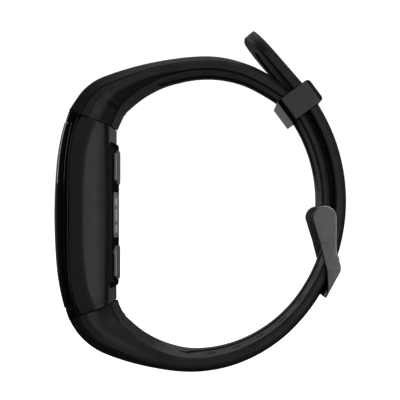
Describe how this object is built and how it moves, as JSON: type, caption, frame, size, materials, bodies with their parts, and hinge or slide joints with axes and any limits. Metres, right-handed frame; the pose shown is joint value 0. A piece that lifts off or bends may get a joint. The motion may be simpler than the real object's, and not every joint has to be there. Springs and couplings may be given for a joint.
{
  "type": "fitness tracker band",
  "caption": "Wrist fitness tracker with a curved glass front, wrist-side sensor, rubber strap, pin buckle and sliding keeper, modelled buckled.",
  "frame": {"origin": "centre of the sensor window's outer face, on the wrist side of the tracker body", "axes": "+X out of that face into the loop, toward the wrist; +Z along the tracker body toward the buckle-side strap; +Y across the strap"},
  "size_m": [0.0737, 0.026, 0.0867],
  "materials": {
    "front_glass": "polished black cover glass",
    "glass_adhesive": "matt adhesive tape",
    "display_panel": "dark display laminate",
    "front_frame": "gloss black",
    "main_housing": "satin black",
    "back_cover": "fine satin black",
    "back_gasket": "silicone",
    "case_screw_1": "blackened steel",
    "case_screw_2": "blackened steel",
    "case_screw_3": "blackened steel",
    "case_screw_4": "blackened steel",
    "charging_contact_1": "gold plated",
    "charging_contact_2": "gold plated",
    "sensor_window": "gloss dark window",
    "light_barrier": "matt black",
    "sensor_led_upper": "clear cap over green emitters",
    "sensor_led_lower": "clear cap over green emitters",
    "photodiode": "clear cap over a dark chip",
    "sensor_board": "solder mask",
    "release_button_upper": "grey anodised satin",
    "release_button_lower": "grey anodised satin",
    "latch_rocker_upper": "stamped steel",
    "latch_rocker_lower": "stamped steel",
    "release_spring_upper": "spring wire",
    "release_spring_lower": "spring wire",
    "inner_chassis": "stamped sheet",
    "battery": "foil pouch",
    "main_board": "solder mask",
    "shield_can": "tinned steel",
    "processor": "moulded package",
    "display_flex": "polyimide film",
    "antenna_strip": "plated copper",
    "vibration_motor_can": "plated steel",
    "vibration_motor_shaft": "ground steel",
    "vibration_motor_weight": "sintered heavy metal",
    "upper_strap": "matt silicone",
    "lower_strap": "matt silicone",
    "strap_connector_upper": "glass-filled nylon",
    "strap_connector_lower": "glass-filled nylon",
    "buckle_pin": "ground steel",
    "buckle_frame": "dark grey satin",
    "buckle_tang": "dark grey satin",
    "keeper_loop": "matt moulded loop"
  },
  "bodies": {
    "tracker": {"front_glass": "front_glass", "glass_adhesive": "glass_adhesive", "display_panel": "display_panel", "front_frame": "front_frame", "main_housing": "main_housing", "back_cover": "back_cover", "back_gasket": "back_gasket", "case_screw_1": "case_screw_1", "case_screw_2": "case_screw_2", "case_screw_3": "case_screw_3", "case_screw_4": "case_screw_4", "charging_contact_1": "charging_contact_1", "charging_contact_2": "charging_contact_2", "sensor_window": "sensor_window", "light_barrier": "light_barrier", "sensor_led_upper": "sensor_led_upper", "sensor_led_lower": "sensor_led_lower", "photodiode": "photodiode", "sensor_board": "sensor_board", "release_spring_upper": "release_spring_upper", "release_spring_lower": "release_spring_lower", "inner_chassis": "inner_chassis", "battery": "battery", "main_board": "main_board", "shield_can": "shield_can", "processor": "processor", "display_flex": "display_flex", "antenna_strip": "antenna_strip", "vibration_motor_can": "vibration_motor_can", "upper_strap": "upper_strap", "lower_strap": "lower_strap", "strap_connector_upper": "strap_connector_upper", "strap_connector_lower": "strap_connector_lower", "buckle_pin": "buckle_pin"},
    "release_button_upper": {"release_button_upper": "release_button_upper"},
    "release_button_lower": {"release_button_lower": "release_button_lower"},
    "latch_upper": {"latch_rocker_upper": "latch_rocker_upper"},
    "latch_lower": {"latch_rocker_lower": "latch_rocker_lower"},
    "motor_rotor": {"vibration_motor_shaft": "vibration_motor_shaft", "vibration_motor_weight": "vibration_motor_weight"},
    "buckle": {"buckle_frame": "buckle_frame"},
    "tang": {"buckle_tang": "buckle_tang"},
    "keeper": {"keeper_loop": "keeper_loop"}
  },
  "joints": [
    {"name": "release_button_upper_press", "type": "slide", "parent": "tracker", "child": "release_button_upper", "axis": [-1, 0, 0], "range_m": [0, 0.0006], "stiffness_N_per_m": 200, "springref_m": -0.0003, "deforming": ["release_spring_upper"]},
    {"name": "latch_upper_rock", "type": "hinge", "parent": "tracker", "child": "latch_upper", "pos_m": [-0.0031, 0, 0.019], "axis": [0, 1, 0], "range_deg": [0, 8.5]},
    {"name": "release_button_lower_press", "type": "slide", "parent": "tracker", "child": "release_button_lower", "axis": [-1, 0, 0], "range_m": [0, 0.0006], "stiffness_N_per_m": 200, "springref_m": -0.0003, "deforming": ["release_spring_lower"]},
    {"name": "latch_lower_rock", "type": "hinge", "parent": "tracker", "child": "latch_lower", "pos_m": [-0.0031, 0, -0.019], "axis": [0, -1, 0], "range_deg": [0, 8.5]},
    {"name": "vibration_motor_spin", "type": "hinge", "parent": "tracker", "child": "motor_rotor", "pos_m": [-0.00735, 0.00415, 0.0142], "axis": [0, 1, 0], "continuous": true},
    {"name": "buckle_swing", "type": "hinge", "parent": "tracker", "child": "buckle", "pos_m": [0.05302, 0, -0.00071], "axis": [0, -1, 0], "range_deg": [0, 75]},
    {"name": "tang_play", "type": "hinge", "parent": "tracker", "child": "tang", "pos_m": [0.05302, 0, -0.00071], "axis": [0, -1, 0], "range_deg": [-1, 3]},
    {"name": "keeper_slide", "type": "hinge", "parent": "tracker", "child": "keeper", "pos_m": [0.0133, 0, 0.0036], "axis": [0, 1, 0], "range_deg": [0, 30]}
  ],
  "couplings": [
    {"joint": "latch_upper_rock", "follows": "release_button_upper_press", "rad_per_m": 243.9},
    {"joint": "latch_lower_rock", "follows": "release_button_lower_press", "rad_per_m": 243.9}
  ]
}
